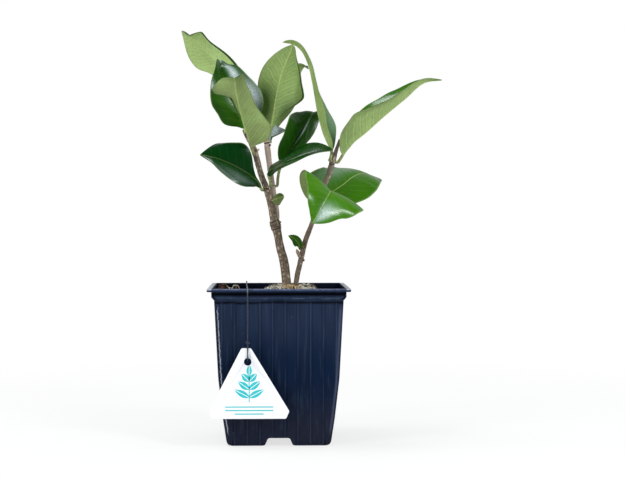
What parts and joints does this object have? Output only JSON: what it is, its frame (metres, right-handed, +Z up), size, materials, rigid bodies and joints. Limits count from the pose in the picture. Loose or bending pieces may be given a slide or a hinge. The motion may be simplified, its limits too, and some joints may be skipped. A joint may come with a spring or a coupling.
{
  "type": "potted privet",
  "caption": "Young glossy-leaved shrub on slender woody stems in a square dark nursery pot with a plain hang tag on a cord.",
  "frame": {"origin": "on the ground plane, under the middle of the plant's bounding box (cord and tag left out)", "axes": "+Z up; +X to the right and -Y to the front, the side the hang tag is on, square to the pot"},
  "size_m": [0.1711, 0.1141, 0.2668],
  "materials": {
    "pot_plastic": "dark navy moulded plastic, satin",
    "potting_mix": "damp dark peat and bark mix",
    "straw": "dry straw and root fibre",
    "bark_chip": "torn red-brown bark",
    "stem_bark": "thin grey-brown bark with lenticels",
    "leaf_green": "glossy dark green above, matt pale green below",
    "tag_plastic": "white satin plastic with a teal print",
    "cord_thread": "twisted grey thread"
  },
  "bodies": {
    "root": {"pot": "pot_plastic", "potting_mix": "potting_mix", "straw_litter": "straw", "bark_chip_1": "bark_chip", "bark_chip_2": "bark_chip", "bark_chip_3": "bark_chip", "bark_chip_4": "bark_chip", "bark_chip_5": "bark_chip", "left_stem": "stem_bark", "right_stem": "stem_bark", "leaf_left_top": "leaf_green", "leaf_left_dark": "leaf_green", "leaf_left_front": "leaf_green", "leaf_left_low": "leaf_green", "leaf_left_small": "leaf_green", "leaf_middle_top": "leaf_green", "leaf_middle_back": "leaf_green", "leaf_middle_small": "leaf_green", "leaf_middle_dark": "leaf_green", "leaf_middle_low": "leaf_green", "leaf_right_hooked": "leaf_green", "leaf_right_long": "leaf_green", "leaf_right_back": "leaf_green", "leaf_right_front": "leaf_green", "leaf_right_small": "leaf_green", "hang_tag": "tag_plastic", "tag_cord": "cord_thread", "loop_knot": "cord_thread", "end_knot": "cord_thread"}
  },
  "joints": []
}
